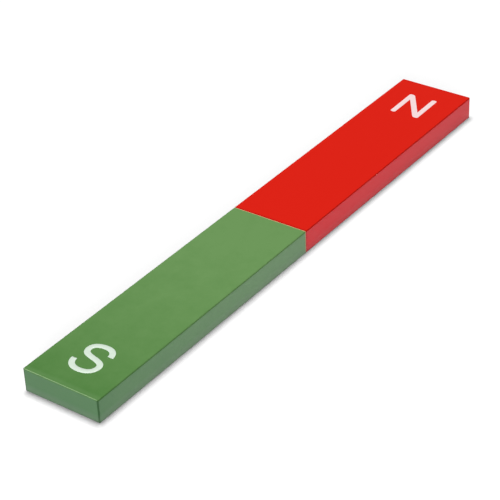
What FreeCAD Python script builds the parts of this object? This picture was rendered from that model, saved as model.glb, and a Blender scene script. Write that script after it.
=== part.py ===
import FreeCAD, Part
import math
import os

import Sketcher

# Painted bar magnet for the classroom. It is one cast and ground alloy bar, square cut, lying
# flat on a table. Its long side runs along X: the north pole is at +X and the south pole at -X.
# Z is up, and the origin is the middle of the underside. The sizes are those of the finished
# bar over its lacquer. One half is lacquered red and the other green. The two coats stop just
# short of each other, so a hairline of bare alloy runs round the bar between them, a coat's
# depth below the lacquer and a little to the green side of the middle.

# Every size stands once in the sheet, in millimetres, with what it measures.
SIZES = (
    ("bar_length", "150", "over both pole faces"),
    ("bar_width", "20", "across the bar"),
    ("bar_thickness", "5.8", "from the table to the lettered face"),
    ("corner_radius", "0.4", "of the four upright corners, ground and then lacquered"),
    ("bare_edge_radius", "0.07", "of the ground alloy's own edges, to which the coat adds its depth"),
    ("coat_depth", "0.08", "of lacquer over the bare alloy"),
    ("strip_width", "0.2", "of bare alloy between the two coats"),
    ("strip_shift", "0.78", "from mid-length towards the south pole"),
    ("cutter_reach", "1", "by which the outline of the strip's cut stands clear of the bar"),
)


def make_sheet(doc):
    """The sheet with one row for each size: its name, its value and its meaning."""
    sheet = doc.addObject("Spreadsheet::Sheet", "Sizes")
    for row, (name, value, meaning) in enumerate(SIZES, start=1):
        sheet.set(f"A{row}", name)
        sheet.set(f"B{row}", value)
        sheet.set(f"C{row}", meaning)
        sheet.setAlias(f"B{row}", name)
    doc.recompute()
    return sheet


def origin_plane(body, role):
    """One of the body's own three planes, such as XY_Plane."""
    return next(plane for plane in body.Origin.OriginFeatures if plane.Role == role)


def new_sketch(body, name, role):
    """An empty sketch that lies on one of the body's own planes."""
    sketch = body.newObject("Sketcher::SketchObject", name)
    sketch.AttachmentSupport = [(origin_plane(body, role), "")]
    sketch.MapMode = "FlatFace"
    return sketch


def as_drawn(sketch, kind, place):
    """The radius, or the distance from one point to another, that the sketch has so far."""
    if kind == "Radius":
        return sketch.Geometry[place[0]].Radius
    apart = sketch.getPoint(*place[2:]) - sketch.getPoint(*place[:2])
    return apart.x if kind == "DistanceX" else apart.y


def bind_distance(sketch, kind, place, name, formula):
    """Adds a distance or radius to the sketch and ties it to a formula of the sheet's sizes."""
    start = as_drawn(sketch, kind, place)
    number = sketch.addConstraint(Sketcher.Constraint(kind, *place, start))
    sketch.renameConstraint(number, name)
    sketch.setExpression(f"Constraints.{name}", formula)


def add_rectangle(sketch, left, bottom, right, top):
    """Four closed lines, each kept level or upright. Returns the first line's number."""
    corners = (
        FreeCAD.Vector(left, bottom),
        FreeCAD.Vector(right, bottom),
        FreeCAD.Vector(right, top),
        FreeCAD.Vector(left, top),
    )
    first = sketch.GeometryCount
    for start, end in zip(corners, corners[1:] + corners[:1]):
        sketch.addGeometry(Part.LineSegment(start, end))
    for side in range(4):
        following = first + (side + 1) % 4
        sketch.addConstraint(Sketcher.Constraint("Coincident", first + side, 2, following, 1))
        direction = "Horizontal" if side % 2 == 0 else "Vertical"
        sketch.addConstraint(Sketcher.Constraint(direction, first + side))
    return first


def edge_names(feature, wanted):
    """The names of a feature's edges that pass a test, for use in a fillet."""
    edges = enumerate(feature.Shape.Edges, start=1)
    return [f"Edge{number}" for number, edge in edges if wanted(edge)]


def stands_upright(edge):
    """True of a straight edge that runs along Z."""
    box = edge.BoundBox
    return box.XLength < 1e-6 and box.YLength < 1e-6 and box.ZLength > 1e-6


def lies_level(edge):
    """True of an edge whose every point is at one height."""
    return edge.BoundBox.ZLength < 1e-6


def add_fillet(doc, body, base, name, wanted, radius):
    """Rounds the base's edges that pass the test to a radius given by the sheet's sizes."""
    doc.recompute()
    fillet = body.newObject("PartDesign::Fillet", name)
    fillet.Base = (base, edge_names(base, wanted))
    fillet.setExpression("Radius", radius)
    return fillet


def block_outline(body):
    """The bar seen from above: a rectangle about the origin."""
    sketch = new_sketch(body, "BarOutline", "XY_Plane")
    bottom = add_rectangle(sketch, -50, -10, 50, 10)
    side = bottom + 1
    sketch.addConstraint(Sketcher.Constraint("Symmetric", bottom, 1, side, 2, -1, 1))
    bind_distance(sketch, "DistanceX", (bottom, 1, bottom, 2), "along", "Sizes.bar_length")
    bind_distance(sketch, "DistanceY", (side, 1, side, 2), "across", "Sizes.bar_width")
    return sketch


def add_rounded_rectangle(sketch):
    """Four corner arcs of one radius with lines between them. Returns the first arc's number."""
    half_width, height, corner = 8.0, 5.0, 1.0
    quarter = math.pi / 2
    first = sketch.GeometryCount
    middles = (
        (half_width - corner, corner, -quarter),
        (half_width - corner, height - corner, 0.0),
        (corner - half_width, height - corner, quarter),
        (corner - half_width, corner, 2 * quarter),
    )
    for x, y, start in middles:
        circle = Part.Circle(FreeCAD.Vector(x, y), FreeCAD.Vector(0, 0, 1), corner)
        sketch.addGeometry(Part.ArcOfCircle(circle, start, start + quarter))
    for number in range(4):
        arc = first + number
        following = first + (number + 1) % 4
        ends = (sketch.getPoint(arc, 2), sketch.getPoint(following, 1))
        line = sketch.addGeometry(Part.LineSegment(*ends))
        sketch.addConstraint(Sketcher.Constraint("Tangent", arc, 2, line, 1))
        sketch.addConstraint(Sketcher.Constraint("Tangent", line, 2, following, 1))
        direction = "Vertical" if number % 2 == 0 else "Horizontal"
        sketch.addConstraint(Sketcher.Constraint(direction, line))
        if number:
            sketch.addConstraint(Sketcher.Constraint("Equal", first, arc))
    return first


def bind_box(sketch, name, right, top, left, bottom, half_width, height, foot):
    """Holds the four sides of an outline: even about the middle, and from its foot up to its height."""
    bind_distance(sketch, "DistanceX", (-1, 1, right, 1), f"{name}_right", half_width)
    bind_distance(sketch, "DistanceX", (left, 1, -1, 1), f"{name}_left", half_width)
    bind_distance(sketch, "DistanceY", (-1, 1, top, 1), f"{name}_top", height)
    bind_distance(sketch, "DistanceY", (-1, 1, bottom, 1), f"{name}_foot", foot)


def strip_section(body):
    """Seen along the bar: the alloy's section inside, and round it an outline clear of the bar."""
    sketch = new_sketch(body, "StripSection", "YZ_Plane")
    sketch.setExpression("AttachmentOffset.Base.z", "-Sizes.strip_shift")
    arc = add_rounded_rectangle(sketch)
    right, top, left, bottom = range(arc + 4, arc + 8)
    bind_distance(sketch, "Radius", (arc,), "bare_radius", "Sizes.bare_edge_radius")
    bind_box(sketch, "bare", right, top, left, bottom,
             "Sizes.bar_width / 2 - Sizes.coat_depth",
             "Sizes.bar_thickness - Sizes.coat_depth",
             "Sizes.coat_depth")
    foot = add_rectangle(sketch, -20, 1, 20, 15)
    bind_box(sketch, "clear", foot + 1, foot + 2, foot + 3, foot,
             "Sizes.bar_width / 2 + Sizes.cutter_reach",
             "Sizes.bar_thickness + Sizes.cutter_reach",
             "-Sizes.cutter_reach")
    return sketch


def make_bar(doc):
    """The whole magnet: a block with rounded corners and edges, and the strip round its middle."""
    body = doc.addObject("PartDesign::Body", "MagnetBar")
    body.Label = "magnet_bar"
    outline = block_outline(body)
    block = body.newObject("PartDesign::Pad", "Block")
    block.Profile = outline
    block.setExpression("Length", "Sizes.bar_thickness")
    corners = add_fillet(doc, body, block, "UprightCorners", stands_upright, "Sizes.corner_radius")
    lacquered = "Sizes.bare_edge_radius + Sizes.coat_depth"
    edges = add_fillet(doc, body, corners, "FaceEdges", lies_level, lacquered)
    doc.recompute()
    section = strip_section(body)
    strip = body.newObject("PartDesign::Pocket", "BareStrip")
    strip.Profile = section
    strip.SideType = "Symmetric"
    strip.setExpression("Length", "Sizes.strip_width")
    doc.recompute()
    if not 0 < strip.Shape.Volume < edges.Shape.Volume:
        raise RuntimeError("the strip's cut took nothing away")
    return body


def check(doc, pieces):
    """Stops if an object failed to rebuild or a piece is not one sound solid."""
    for item in doc.Objects:
        if {"Invalid", "Error"} & set(item.State):
            raise RuntimeError(f"{item.Name} did not rebuild: {item.State}")
    for piece in pieces:
        if piece.Shape.isNull() or not piece.Shape.isValid() or len(piece.Shape.Solids) != 1:
            raise RuntimeError(f"{piece.Label} is not one sound solid")


doc = FreeCAD.newDocument("BarMagnet")
make_sheet(doc)
pieces = [make_bar(doc)]
doc.recompute()
check(doc, pieces)

os.makedirs("parts", exist_ok=True)
for piece in pieces:
    piece.Shape.exportStep(f"parts/{piece.Label}.step")
    box = piece.Shape.BoundBox
    print(f"{piece.Label}: {box.XLength:.2f} x {box.YLength:.2f} x {box.ZLength:.2f} mm, "
          f"{piece.Shape.Volume:.1f} mm3, {len(piece.Shape.Faces)} faces")
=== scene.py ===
import math

import bmesh
import bpy
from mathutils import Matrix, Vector


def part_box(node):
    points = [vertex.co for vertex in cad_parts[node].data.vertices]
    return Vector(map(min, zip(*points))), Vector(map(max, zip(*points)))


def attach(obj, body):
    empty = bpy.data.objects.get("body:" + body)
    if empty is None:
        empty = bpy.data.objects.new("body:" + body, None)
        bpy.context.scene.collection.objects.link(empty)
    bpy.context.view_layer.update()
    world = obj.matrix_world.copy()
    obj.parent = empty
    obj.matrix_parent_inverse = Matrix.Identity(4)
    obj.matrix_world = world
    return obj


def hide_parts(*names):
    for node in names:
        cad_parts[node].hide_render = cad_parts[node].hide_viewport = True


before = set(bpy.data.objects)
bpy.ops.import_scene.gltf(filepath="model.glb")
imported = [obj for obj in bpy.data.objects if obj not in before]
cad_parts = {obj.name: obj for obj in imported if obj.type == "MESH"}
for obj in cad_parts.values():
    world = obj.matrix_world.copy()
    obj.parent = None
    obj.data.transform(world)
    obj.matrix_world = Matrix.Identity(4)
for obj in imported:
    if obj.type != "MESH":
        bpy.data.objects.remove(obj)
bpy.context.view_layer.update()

# The bar. One piece of cast alnico, sawn to length and ground flat on all six sides. The grinding
# leaves crisp edges, which the lacquer then rounds a little. The coats were sprayed against a
# masking tape round the middle, so a hairline of bare alloy is left, a coat's depth down.
mm = 0.001
corner_radius = 0.25 * mm
edge_radius = 0.15 * mm
coat_depth = 0.08 * mm
coat_edge_radius = coat_depth * 0.35  # where each coat ends beside the strip
strip_width = 0.2 * mm
strip_middle = -0.79 * mm
strip_skew = 0.0078  # the tape lay a touch aslant: this much along the bar for each unit across
nearly = 0.9  # the least share of a direction that counts as pointing that way
bar_low, bar_high = (Vector(corner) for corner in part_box("magnet_bar"))
bar_middle = (bar_low + bar_high) / 2
bar_half = (bar_high - bar_low) / 2
bar_thickness = 2 * bar_half.z


def select_where(piece, kind, wanted):
    """Selects the piece's verts, edges or faces that pass a test in edit mode, and no others."""
    bpy.ops.mesh.select_all(action="DESELECT")
    shape = bmesh.from_edit_mesh(piece.data)
    shape.normal_update()
    for element in getattr(shape, kind):
        if wanted(element):
            element.select_set(True)
    bmesh.update_edit_mesh(piece.data)


def along(edge):
    """The edge's own direction."""
    return (edge.verts[1].co - edge.verts[0].co).normalized()


def runs_round_a_face(edge):
    """True of the edges that frame the top face and the underside."""
    beside_a_face = any(abs(face.normal.z) > nearly for face in edge.link_faces)
    return beside_a_face and abs(along(edge).z) < 1 - nearly


def beside_strip(point):
    """How far a point lies from the strip's middle line, to the red side, along the bar."""
    return point.x - strip_middle + strip_skew * point.y


def frames_the_strip(edge):
    """True of the outer edge of either wall beside the bare strip."""
    on_a_wall = any(abs(face.normal.x) > nearly for face in edge.link_faces)
    at_the_strip = all(abs(beside_strip(end.co)) < strip_width for end in edge.verts)
    return edge.is_convex and on_a_wall and at_the_strip


bpy.ops.object.select_all(action="DESELECT")
bpy.ops.mesh.primitive_cube_add(size=1, location=bar_middle, scale=bar_half * 2)
bar = bpy.context.object
bar.name = "lacquered_bar"
bpy.ops.object.transform_apply(location=True, rotation=False, scale=True)
bpy.ops.object.mode_set(mode="EDIT")
bpy.ops.mesh.select_mode(type="EDGE")
select_where(bar, "edges", lambda edge: abs(along(edge).z) > nearly)
bpy.ops.mesh.bevel(offset=corner_radius, segments=8, affect="EDGES", clamp_overlap=False)
select_where(bar, "edges", runs_round_a_face)
bpy.ops.mesh.bevel(offset=edge_radius, segments=6, affect="EDGES", clamp_overlap=False)
# The strip is marked out by a cut on either side of its middle line, then sunk.
for side in (-0.5, 0.5):
    bpy.ops.mesh.select_all(action="SELECT")
    bpy.ops.mesh.bisect(plane_co=(strip_middle + side * strip_width, 0, 0),
                        plane_no=(1, strip_skew, 0))
select_where(bar, "faces",
             lambda face: abs(beside_strip(face.calc_center_median())) < strip_width / 2)
bpy.ops.mesh.extrude_region_shrink_fatten(
    TRANSFORM_OT_shrink_fatten={"value": -coat_depth, "use_even_offset": True})
select_where(bar, "edges", frames_the_strip)
bpy.ops.mesh.bevel(offset=coat_edge_radius, segments=2, affect="EDGES", clamp_overlap=False)
bpy.ops.mesh.select_all(action="SELECT")
bpy.ops.mesh.normals_make_consistent(inside=False)
bpy.ops.object.mode_set(mode="OBJECT")

# The two lacquers. Air-drying alkyd gloss lacquer, sprayed in one wet coat: even and smooth, with
# a faint orange peel and a slight cloudiness where the coat is uneven. Light and shade are painted
# into its colour: along the bar, on the sides, at the foot, along the edges and beside the strip.
drift_length = 60 * mm  # from an end to where the shade stops changing
cloud_size = 5 * mm
cloudiness = 0.13  # how far a cloud moves the shade towards that of the end or the middle
noise_low, noise_high = 0.3, 0.7  # nearly all of a noise pattern's values lie between these
peel_size = 0.9 * mm  # from one dimple of the orange peel to the next
peel_depth = 0.01 * mm
side_starts, side_full = 0.15 * mm, 0.35 * mm  # the sides' painted tint sets in between these depths
side_tint_share = 0.3  # the share of the sides' painted tint in their colour
# Painted light: how high and how pale the lightening at the foot of the sides is.
pale_foot_height = 2.2 * mm
pale_foot_colour = "b3b3b3"
# How far each painted line, band and shade reaches from an edge, on both of the sides that meet
# there.
end_line = (("X", 0.14 * mm), ("Z", 0.05 * mm))
end_band = (("X", 1.6 * mm), ("Z", 0.07 * mm))
end_band_share = 0.06
shaded_long_edge = (("Y", 0.2 * mm), ("Z", 0.48 * mm))
shaded_corner = (("X", 0.33 * mm), ("Y", 0.43 * mm))
long_edge_gain, corner_gain = 0.71, 0.57  # how much of the colour's brightness the painted shade leaves there
strip_shade_reach = 0.7 * mm  # from the strip's middle line to where the painted shade beside it ends
sheen_low, sheen_high = 0.16, 0.24  # the roughness of the full coat
dull = 0.7  # the roughness along the shaded edges


def linear(colour):
    """A colour written as sRGB hex, such as "c0ffee", as the linear numbers that a shader takes."""
    parts = (int(colour[place:place + 2], 16) / 255 for place in (0, 2, 4))
    return (*(p / 12.92 if p <= 0.04045 else ((p + 0.055) / 1.055) ** 2.4 for p in parts), 1)


def add_node(tree, kind, settings=None, **inputs):
    """Adds a node with its settings. An input is given a value, or an output to be linked to.

    Inputs go by name. Where several share one, i0, i1 and so on pick an input by its place.
    """
    node = tree.nodes.new(kind)
    for name, value in (settings or {}).items():
        setattr(node, name, value)
    for name, value in inputs.items():
        key = int(name[1:]) if name[0] == "i" and name[1:].isdigit() else name.replace("_", " ")
        if isinstance(value, bpy.types.NodeSocket):
            tree.links.new(value, node.inputs[key])
        else:
            node.inputs[key].default_value = value
    return node


def new_material(name):
    """An empty material with only its output node."""
    material = bpy.data.materials.new(name)
    material.use_nodes = True
    material.node_tree.nodes.clear()
    return material, material.node_tree, material.node_tree.nodes.new("ShaderNodeOutputMaterial")


def measure_inward(tree, place):
    """How far a point lies in from the nearer end (X) and long side (Y), and below the top (Z)."""
    apart = add_node(tree, "ShaderNodeVectorMath", {"operation": "SUBTRACT"}, i0=place,
                     i1=(bar_middle.x, bar_middle.y, bar_low.z))
    out = add_node(tree, "ShaderNodeVectorMath", {"operation": "ABSOLUTE"}, i0=apart.outputs[0])
    left = add_node(tree, "ShaderNodeVectorMath", {"operation": "SUBTRACT"},
                    i0=(bar_half.x, bar_half.y, bar_thickness), i1=out.outputs[0])
    return add_node(tree, "ShaderNodeSeparateXYZ", Vector=left.outputs[0])


def beside_edge(tree, inward, reaches):
    """1 near the edge where two sides meet, falling to 0 at its reach on either of them."""
    far = [add_node(tree, "ShaderNodeMapRange", Value=inward.outputs[side], From_Min=reach / 2,
                    From_Max=reach) for side, reach in reaches]
    farther = add_node(tree, "ShaderNodeMath", {"operation": "MAXIMUM"},
                       i0=far[0].outputs[0], i1=far[1].outputs[0])
    return add_node(tree, "ShaderNodeMath", {"operation": "SUBTRACT"}, i0=1.0,
                    i1=farther.outputs[0])


def coat_colour(tree, inward, cloud, at_end, at_middle, at_side, at_end_edge, foot_paleness):
    """The coat's colour, with light and shade painted in along the bar, the sides, foot and end
    edges.
    """
    # Painted shade along the bar: the colour drifts from the end's, fast then slowly; it also
    # clouds a little.
    along_bar = add_node(tree, "ShaderNodeMapRange", Value=inward.outputs["X"],
                         From_Max=drift_length)
    drift = add_node(tree, "ShaderNodeMath", {"operation": "SQRT"}, i0=along_bar.outputs[0])
    patch = add_node(tree, "ShaderNodeMapRange", Value=cloud.outputs[0], From_Min=noise_low,
                     From_Max=noise_high, To_Min=-cloudiness, To_Max=cloudiness)
    nearness = add_node(tree, "ShaderNodeMath", {"operation": "ADD", "use_clamp": True},
                        i0=drift.outputs[0], i1=patch.outputs[0])
    shade = add_node(tree, "ShaderNodeMix", {"data_type": "RGBA"}, Factor=nearness.outputs[0],
                     i6=linear(at_end), i7=linear(at_middle))
    # Painted reflection: the sides are tinted bluer than the top, as the room reflects in them.
    aside = add_node(tree, "ShaderNodeMapRange", Value=inward.outputs["Z"], From_Min=side_starts,
                     From_Max=side_full, To_Max=side_tint_share)
    sided = add_node(tree, "ShaderNodeMix", {"data_type": "RGBA"}, Factor=aside.outputs[0],
                     i6=shade.outputs[2], i7=linear(at_side))
    # Painted light: the sides turn a little paler and greyer towards the foot, lifting the shade
    # there.
    foot = add_node(tree, "ShaderNodeMapRange", Value=inward.outputs["Z"],
                    From_Min=bar_thickness - pale_foot_height, From_Max=bar_thickness, To_Max=foot_paleness)
    foot_lightened = add_node(tree, "ShaderNodeMix", {"data_type": "RGBA"}, Factor=foot.outputs[0],
                    i6=sided.outputs[2], i7=linear(pale_foot_colour))
    # Painted along the end edges, a fine line and a weak band on the top: highlight on green, shade
    # on red.
    line = beside_edge(tree, inward, end_line)
    band = beside_edge(tree, inward, end_band)
    weak_band = add_node(tree, "ShaderNodeMath", {"operation": "MULTIPLY"}, i0=band.outputs[0],
                         i1=end_band_share)
    end_edge_paint = add_node(tree, "ShaderNodeMath", {"operation": "MAXIMUM"}, i0=line.outputs[0],
                      i1=weak_band.outputs[0])
    return add_node(tree, "ShaderNodeMix", {"data_type": "RGBA"}, Factor=end_edge_paint.outputs[0],
                    i6=foot_lightened.outputs[2], i7=linear(at_end_edge))


def edge_and_strip_shade(tree, place, inward, strip_shade_gain):
    """Where the edges are shaded, from 0 to 1, and how much brightness the painted shade leaves."""
    # Painted shade along the long edges and the upright corners.
    long_edge = beside_edge(tree, inward, shaded_long_edge)
    corner = beside_edge(tree, inward, shaded_corner)
    shaded_edges = add_node(tree, "ShaderNodeMath", {"operation": "MAXIMUM"}, i0=long_edge.outputs[0],
                    i1=corner.outputs[0])
    darker = [add_node(tree, "ShaderNodeMapRange", Value=edge.outputs[0], To_Min=1.0, To_Max=gain)
              for edge, gain in ((long_edge, long_edge_gain), (corner, corner_gain))]
    darkest = add_node(tree, "ShaderNodeMath", {"operation": "MINIMUM"}, i0=darker[0].outputs[0],
                       i1=darker[1].outputs[0])
    # Painted shade too over the last half millimetre or so before the strip.
    across = add_node(tree, "ShaderNodeVectorMath", {"operation": "DOT_PRODUCT"}, i0=place,
                      i1=(1, strip_skew, 0))
    from_strip = add_node(tree, "ShaderNodeMath", {"operation": "SUBTRACT"},
                          i0=across.outputs["Value"], i1=strip_middle)
    to_strip = add_node(tree, "ShaderNodeMath", {"operation": "ABSOLUTE"},
                        i0=from_strip.outputs[0])
    strip_shade = add_node(tree, "ShaderNodeMapRange", Value=to_strip.outputs[0],
                    From_Min=strip_width / 2, From_Max=strip_shade_reach, To_Min=strip_shade_gain)
    brightness = add_node(tree, "ShaderNodeMath", {"operation": "MULTIPLY"},
                          i0=darkest.outputs[0], i1=strip_shade.outputs[0])
    return shaded_edges, brightness


def add_lacquer(name, at_end, at_middle, at_side, at_end_edge, foot_paleness, strip_shade_gain, gloss):
    """Gloss lacquer: its uneven colour with painted light and shade, its dull edges, and its orange
    peel.
    """
    material, tree, output = new_material(name)
    place = add_node(tree, "ShaderNodeTexCoord").outputs["Object"]
    inward = measure_inward(tree, place)
    # Clouds: patches where the wet coat ran thicker or thinner, and so deeper or paler.
    cloud = add_node(tree, "ShaderNodeTexNoise", Vector=place, Scale=1 / cloud_size, Detail=5.0,
                     Roughness=0.75)
    colour = coat_colour(tree, inward, cloud, at_end, at_middle, at_side, at_end_edge, foot_paleness)
    shaded_edges, brightness = edge_and_strip_shade(tree, place, inward, strip_shade_gain)
    tone = add_node(tree, "ShaderNodeVectorMath", {"operation": "SCALE"},
                    Vector=colour.outputs[2], Scale=brightness.outputs[0])
    # The gloss is lost along the shaded edges, and dulls slightly with the clouds.
    level = add_node(tree, "ShaderNodeMapRange", Value=shaded_edges.outputs[0], To_Min=gloss, To_Max=0.0)
    sheen = add_node(tree, "ShaderNodeMapRange", Value=cloud.outputs[0], From_Min=noise_low,
                     From_Max=noise_high, To_Min=sheen_low, To_Max=sheen_high)
    dulled = add_node(tree, "ShaderNodeMix", Factor=shaded_edges.outputs[0], i2=sheen.outputs[0], i3=dull)
    # Orange peel: shallow dimples, no more than a few micrometres deep.
    peel = add_node(tree, "ShaderNodeTexNoise", Vector=place, Scale=1 / peel_size, Detail=1.0)
    bump = add_node(tree, "ShaderNodeBump", Strength=0.12, Distance=peel_depth,
                    Height=peel.outputs[0])
    shader = add_node(tree, "ShaderNodeBsdfPrincipled", Base_Color=tone.outputs[0],
                      Roughness=dulled.outputs[0], IOR=1.5, Specular_IOR_Level=level.outputs[0],
                      Normal=bump.outputs[0])
    tree.links.new(shader.outputs[0], output.inputs["Surface"])
    return material


# The green is painted darker towards its end, with a painted highlight along its end edges. The red
# is even, with painted shade along its end edges and beside the strip.
green_lacquer = add_lacquer("green_gloss_lacquer", at_end="4a773b", at_middle="658c53",
                            at_side="54726a", at_end_edge="acc49c", foot_paleness=0.17, strip_shade_gain=1,
                            gloss=0.2)
red_lacquer = add_lacquer("red_gloss_lacquer", at_end="cf2014", at_middle="cd1e12",
                          at_side="cd0a3d", at_end_edge="8c140a", foot_paleness=0.11, strip_shade_gain=0.68,
                          gloss=0.14)

# The bare alloy in the strip: cast alnico, ground with a fine wheel and gone a little dull. It
# looks straw-coloured between the coats. The grinding lines run round the bar, at their real
# size, because coarser ones would find no room in the strip.
grind_line = 0.03 * mm
grind_run = 150  # the pattern's scale along the lines, per metre, so that they are long
bare_alloy, tree, output = new_material("ground_bare_alnico")
place = add_node(tree, "ShaderNodeTexCoord").outputs["Object"]
stretched = add_node(tree, "ShaderNodeMapping", Vector=place,
                     Scale=(1 / grind_line, grind_run, grind_run))
grind = add_node(tree, "ShaderNodeTexNoise", Vector=stretched.outputs[0], Scale=1.0, Detail=2.0)
straw = add_node(tree, "ShaderNodeMix", {"data_type": "RGBA"}, Factor=grind.outputs[0],
                 i6=linear("e6c695"), i7=linear("ffe2b0"))
shader = add_node(tree, "ShaderNodeBsdfPrincipled", Base_Color=straw.outputs[2], Metallic=0.9,
                  Roughness=0.55)
tree.links.new(shader.outputs[0], output.inputs["Surface"])

# The strip's floor is bare, and its two walls are the ends of the coats.
floor_half_width = strip_width * 0.499
finishes = (green_lacquer, red_lacquer, bare_alloy)
for finish in finishes:
    bar.data.materials.append(finish)
for face in bar.data.polygons:
    beside = beside_strip(face.center)
    finish = green_lacquer if beside < 0 else red_lacquer
    if abs(beside) < floor_half_width and abs(face.normal.x) < 1 - nearly:
        finish = bare_alloy
    face.material_index = finishes.index(finish)

# A chip in the near long edge of the red half, knocked through the gloss to its paler undercoat:
# chalky primer, broken open, so it is matt and a little uneven. The tool that dents the bar
# carries the undercoat, and leaves it on the faces that it cuts.
chip_middle = Vector((29.75 * mm, bar_low.y, bar_high.z - 0.3 * mm))
chip_radius = 0.18 * mm
chalk_grain = 0.1 * mm
undercoat, tree, output = new_material("pale_red_undercoat")
place = add_node(tree, "ShaderNodeTexCoord").outputs["Object"]
grain = add_node(tree, "ShaderNodeTexNoise", Vector=place, Scale=1 / chalk_grain, Detail=2.0)
chalk = add_node(tree, "ShaderNodeMix", {"data_type": "RGBA"}, Factor=grain.outputs[0],
                 i6=linear("ff877e"), i7=linear("ff9992"))
shader = add_node(tree, "ShaderNodeBsdfPrincipled", Base_Color=chalk.outputs[2], Roughness=0.7)
tree.links.new(shader.outputs[0], output.inputs["Surface"])
bar.data.materials.append(undercoat)
bpy.ops.object.select_all(action="DESELECT")
bpy.ops.mesh.primitive_ico_sphere_add(subdivisions=1, radius=chip_radius, location=chip_middle)
chip = bpy.context.object
chip.data.materials.append(undercoat)
bpy.ops.object.select_all(action="DESELECT")
bar.select_set(True)
bpy.context.view_layer.objects.active = bar
carve = bar.modifiers.new("chip", "BOOLEAN")
carve.object = chip
carve.operation = "DIFFERENCE"
carve.material_mode = "TRANSFER"
bpy.ops.object.modifier_apply(modifier=carve.name)
bpy.data.objects.remove(chip)

# The whole bar, coats and all, is one piece. Its flats shade as flats, so that light turns only
# on the rounded edges, and it stands for the solid of the frame.
bpy.ops.object.shade_smooth_by_angle(angle=math.radians(30))
weighted = bar.modifiers.new("flat_sides", "WEIGHTED_NORMAL")
weighted.keep_sharp = True
weighted.weight = 100  # the large flat faces alone decide
bpy.ops.object.modifier_apply(modifier=weighted.name)
# The card beside the bar stays neutral grey, so it takes no light tinted by the coats.
bar.visible_diffuse = False
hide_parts("magnet_bar")
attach(bar, "root")

# The pole letters. White ink, screen-printed on the dry lacquer in one pass: a film of a few
# hundredths of a millimetre with slightly rounded corners, and a little of the coat shows through.
ink_depth = 0.03 * mm
ink_seat = bar_high.z - 0.005 * mm
mesh_marks = 0.8 * mm  # thin spots from the screen's mesh, drawn coarser than real so they show
least_cover = 0.96  # the ink's brightness in them, against 1 elsewhere
touching = 0.001 * mm


def add_ink(name, colour):
    """Satin screen ink, a touch uneven from the mesh of the screen."""
    material, tree, output = new_material(name)
    place = add_node(tree, "ShaderNodeTexCoord").outputs["Object"]
    patch = add_node(tree, "ShaderNodeTexNoise", Vector=place, Scale=1 / mesh_marks, Detail=2.0)
    cover = add_node(tree, "ShaderNodeMapRange", Value=patch.outputs[0], From_Min=noise_low,
                     From_Max=noise_high, To_Min=least_cover, To_Max=1.0)
    tone = add_node(tree, "ShaderNodeVectorMath", {"operation": "SCALE"},
                    Vector=linear(colour)[:3], Scale=cover.outputs[0])
    shader = add_node(tree, "ShaderNodeBsdfPrincipled", Base_Color=tone.outputs[0],
                      Roughness=0.4, IOR=1.5)
    tree.links.new(shader.outputs[0], output.inputs["Surface"])
    return material


def finish_letter(letter, ink):
    """Gives the letter its ink and fixes it to the bar."""
    letter.data.materials.clear()
    letter.data.materials.append(ink)
    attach(letter, "root")


# The N stands on the red half, its top towards the pole face. Half its height lies along X and
# half its breadth along Y; the slanted stroke is a little heavier than the two stems.
n_middle = Vector((63.5 * mm, -0.05 * mm, ink_seat))
n_half_height = 5.14 * mm
n_half_breadth = 3.98 * mm
n_stem = 1.4 * mm
n_slant_rise = 0.67  # how far the slanted stroke goes across for each unit along
n_slant_foot = 2.58 * mm  # from the middle to where the slant leaves a stem's inner side
n_corner = 0.5 * mm
n_turn = -0.8  # degrees
n_inside = n_half_breadth - n_stem
n_slant_end = -n_inside + n_slant_rise * (n_half_height + n_slant_foot)
n_outline = (
    (-n_half_height, -n_half_breadth),
    (n_half_height, -n_half_breadth),
    (n_half_height, -n_inside),
    (-n_slant_foot, -n_inside),
    (n_half_height, n_slant_end),
    (n_half_height, n_half_breadth),
    (-n_half_height, n_half_breadth),
    (-n_half_height, n_inside),
    (n_slant_foot, n_inside),
    (-n_half_height, -n_slant_end),
)
# A plane merged to one vertex is drawn out round the outline, step by step, and then filled.
bpy.ops.object.select_all(action="DESELECT")
start = n_middle + Vector((*n_outline[0], 0))
bpy.ops.mesh.primitive_plane_add(size=mm, location=start)
letter_n = bpy.context.object
letter_n.name = "pole_letter_n"
bpy.ops.object.transform_apply(location=True, rotation=False, scale=True)
bpy.ops.object.mode_set(mode="EDIT")
bpy.ops.mesh.select_mode(type="VERT")
bpy.ops.mesh.select_all(action="SELECT")
bpy.ops.mesh.merge(type="CENTER")
for here, there in zip(n_outline, n_outline[1:]):
    step = (there[0] - here[0], there[1] - here[1], 0)
    bpy.ops.mesh.extrude_region_move(TRANSFORM_OT_translate={"value": step})
bpy.ops.mesh.select_all(action="SELECT")
bpy.ops.mesh.edge_face_add()
select_where(letter_n, "verts",
             lambda vertex: abs(abs(vertex.co.x - n_middle.x) - n_half_height) < touching)
bpy.ops.mesh.bevel(offset=n_corner, segments=5, affect="VERTICES", clamp_overlap=False)
bpy.ops.mesh.select_all(action="SELECT")
bpy.ops.mesh.extrude_region_move(TRANSFORM_OT_translate={"value": (0, 0, ink_depth)})
bpy.ops.mesh.select_all(action="SELECT")
bpy.ops.transform.rotate(value=math.radians(n_turn), orient_axis="Z", center_override=n_middle)
bpy.ops.mesh.normals_make_consistent(inside=False)
bpy.ops.object.mode_set(mode="OBJECT")
finish_letter(letter_n, add_ink("white_ink_over_red", "ecd2d2"))

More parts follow.
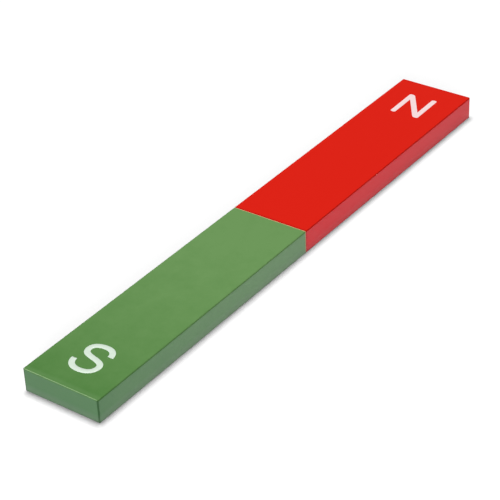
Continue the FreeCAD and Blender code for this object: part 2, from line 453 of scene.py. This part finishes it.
# The S stands on the green half, also with its top towards +X: one stroke of even breadth along
# a curve, its two ends cut square. The curve stands on edge and is drawn out flat to the stroke.
s_middle = Vector((-64.4 * mm, 0, ink_seat + ink_depth / 2))
s_stroke = 1.36 * mm
s_path = (
    # x and y in mm, the way that the stroke runs there, and its handles' reach in mm
    (-1.92, 3.40, -1.0, -0.06, 1.2),
    (-4.67, 0.20, 0.0, -1.0, 2.4),
    (-2.14, -3.09, 1.0, 0.0, 1.25),
    (0.0, 0.0, 0.21, 0.98, 2.1),
    (2.23, 2.85, 1.0, 0.0, 1.35),
    (4.26, -0.33, 0.0, -1.0, 1.8),
    (1.91, -2.94, -1.0, 0.02, 1.15),
)
bpy.ops.object.select_all(action="DESELECT")
bpy.ops.curve.primitive_bezier_curve_add(location=(0, 0, 0))
letter_s = bpy.context.object
letter_s.name = "pole_letter_s"
stroke = letter_s.data.splines[0]
stroke.bezier_points.add(len(s_path) - len(stroke.bezier_points))
for point, (x, y, way_x, way_y, reach) in zip(stroke.bezier_points, s_path):
    point.handle_left_type = point.handle_right_type = "FREE"
    point.co = s_middle + Vector((x, y, 0)) * mm
    way = Vector((way_x, way_y, 0)).normalized() * reach * mm
    point.handle_left = point.co - way
    point.handle_right = point.co + way
    point.tilt = math.radians(90)
letter_s.data.twist_mode = "Z_UP"
letter_s.data.resolution_u = 16
letter_s.data.extrude = s_stroke / 2 - ink_depth / 2
letter_s.data.bevel_depth = ink_depth / 2
letter_s.data.bevel_resolution = 1
letter_s.data.use_fill_caps = True
bpy.ops.object.convert(target="MESH")
letter_s = bpy.context.object
bpy.ops.object.transform_apply(location=True, rotation=True, scale=True)
bpy.ops.object.mode_set(mode="EDIT")
bpy.ops.mesh.select_all(action="SELECT")
bpy.ops.mesh.remove_doubles(threshold=touching)
bpy.ops.mesh.normals_make_consistent(inside=False)
bpy.ops.object.mode_set(mode="OBJECT")
finish_letter(letter_s, add_ink("white_ink_over_green", "cddccd"))

# The table. A sheet of matt white card, laid flat and so wide that its ends are out of sight.
# It is only staged under the bar, and is no part of it.
table_width = 6
bpy.ops.object.select_all(action="DESELECT")
bpy.ops.mesh.primitive_plane_add(size=table_width, location=(0, 0, bar_low.z))
table = bpy.context.object
table.name = "white_card_table"
card, tree, output = new_material("matt_white_card")
shader = add_node(tree, "ShaderNodeBsdfPrincipled", Base_Color=linear("f2f2f2"), Roughness=0.9)
tree.links.new(shader.outputs[0], output.inputs["Surface"])
table.data.materials.append(card)

# The light. A large round softbox high over the bar, which leaves the narrow shadow on the near
# sides, a weak fill from the front, and a small faint light at the back left that catches the
# near short edge. The room itself is almost dark.
light_distance = 1.2
room_glow = 0.04


def add_softbox(name, way, size, strength):
    """A round soft light that faces the bar. A white card that faces it is lit to its strength."""
    place = Vector(way).normalized() * light_distance
    bpy.ops.object.select_all(action="DESELECT")
    bpy.ops.object.light_add(type="AREA", location=place,
                             rotation=(-place).to_track_quat("-Z", "Y").to_euler())
    light = bpy.context.object
    light.name = name
    light.data.shape = "DISK"
    light.data.size = size
    light.data.energy = strength * math.pi ** 2 * light_distance ** 2


add_softbox("overhead_softbox", way=(0.08, 0.105, 0.99), size=0.56, strength=1.07)
add_softbox("front_fill", way=(-0.79, -0.57, 0.23), size=0.6, strength=0.67)
add_softbox("edge_light", way=(-0.55, 0.50, 0.67), size=0.3, strength=0.06)
world = bpy.data.worlds.new("studio_room")
world.use_nodes = True
background = world.node_tree.nodes["Background"]
background.inputs["Color"].default_value = linear("ffffff")
background.inputs["Strength"].default_value = room_glow
bpy.context.scene.world = world

# The camera. A long lens from the near left and above, so that the bar's long sides nearly keep
# parallel.
bpy.ops.object.camera_add(
    location=(-275.30 * mm, -200.17 * mm, 219.05 * mm),
    rotation=(math.radians(56.867), math.radians(2.117), math.radians(-54.465)))
camera = bpy.context.object
camera.data.sensor_width = 36
camera.data.lens = 124.87
bpy.context.scene.camera = camera
bpy.context.scene.view_settings.view_transform = "Standard"
